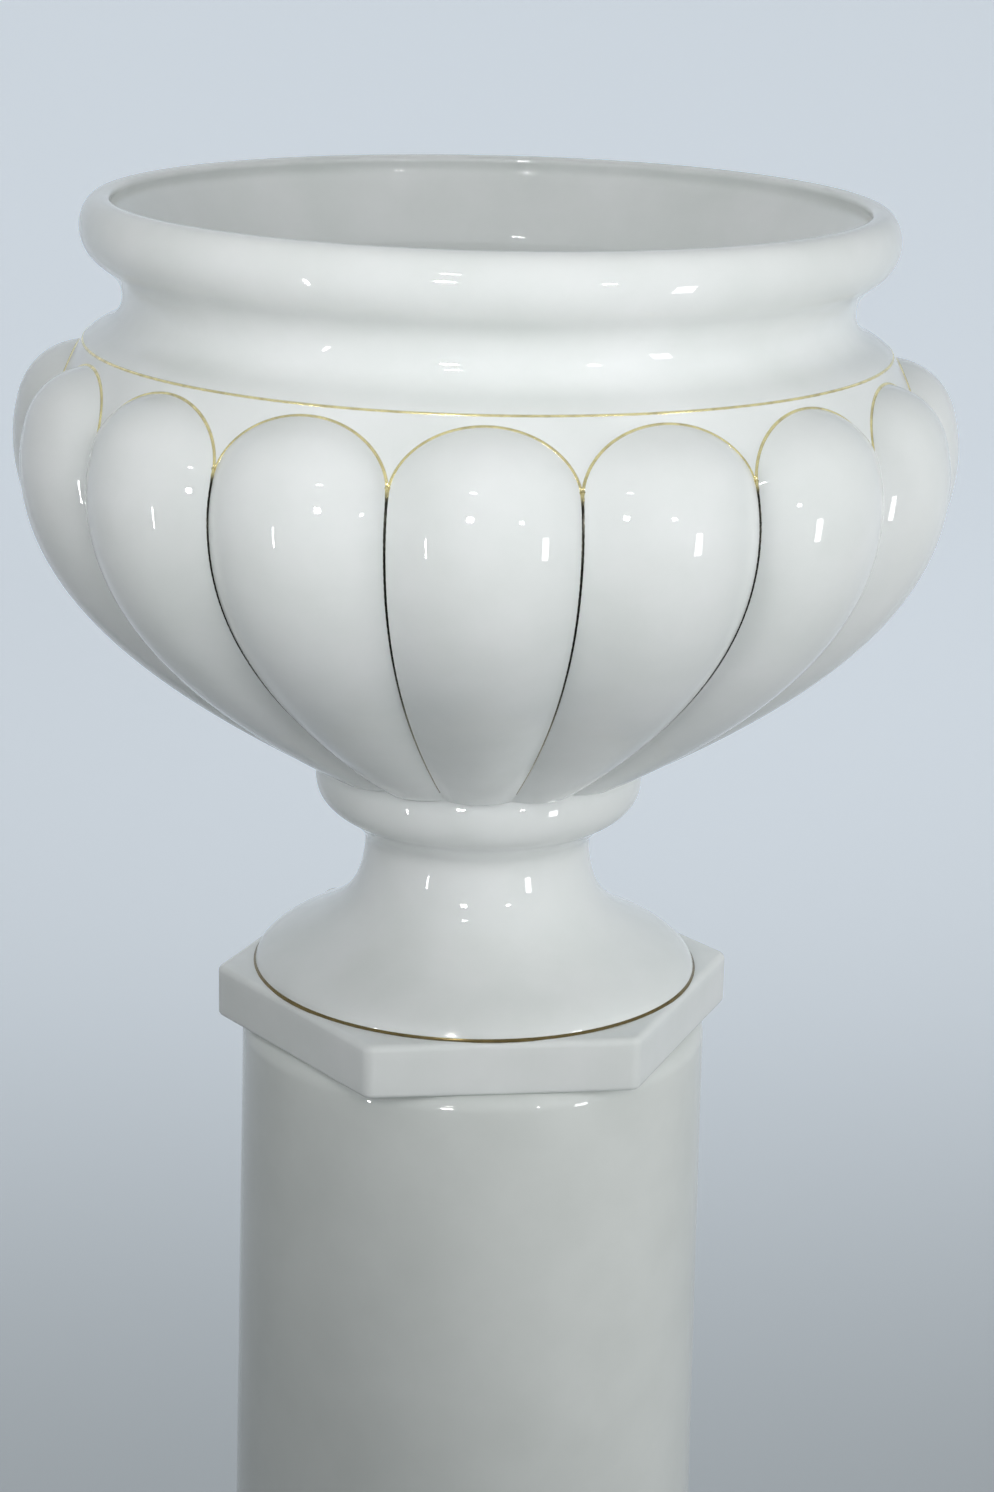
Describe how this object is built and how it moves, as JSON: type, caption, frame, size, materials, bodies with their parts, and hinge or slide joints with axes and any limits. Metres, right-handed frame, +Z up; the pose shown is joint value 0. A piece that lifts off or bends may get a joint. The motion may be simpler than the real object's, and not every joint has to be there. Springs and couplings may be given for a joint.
{
  "type": "jardiniere on stand",
  "caption": "Lobed glazed jardiniere with a rolled rim and gilt lines, on a waisted foot and hexagonal plinth, lifting off a plain round hollow column.",
  "frame": {"origin": "floor level at the centre of the stand's base slab", "axes": "+Z up along the common axis of column and urn; -Y is the front, faced by a lobe of the bowl; +X is to the right seen from the front"},
  "size_m": [0.4552, 0.4552, 1],
  "materials": {
    "white_glaze": "glossy cool white glaze with fine pooling and specks",
    "gilding": "fired bright gold line"
  },
  "bodies": {
    "stand": {"stand_plinth": "white_glaze", "column": "white_glaze"},
    "urn": {"urn_plinth": "white_glaze", "urn_foot": "white_glaze", "bowl": "white_glaze", "shoulder_gold_line": "gilding", "lobe_gold_lines": "gilding", "foot_gold_line": "gilding"}
  },
  "joints": [
    {"name": "urn_lift", "type": "slide", "parent": "stand", "child": "urn", "axis": [0, 0, 1], "range_m": [0, 0.08]}
  ]
}
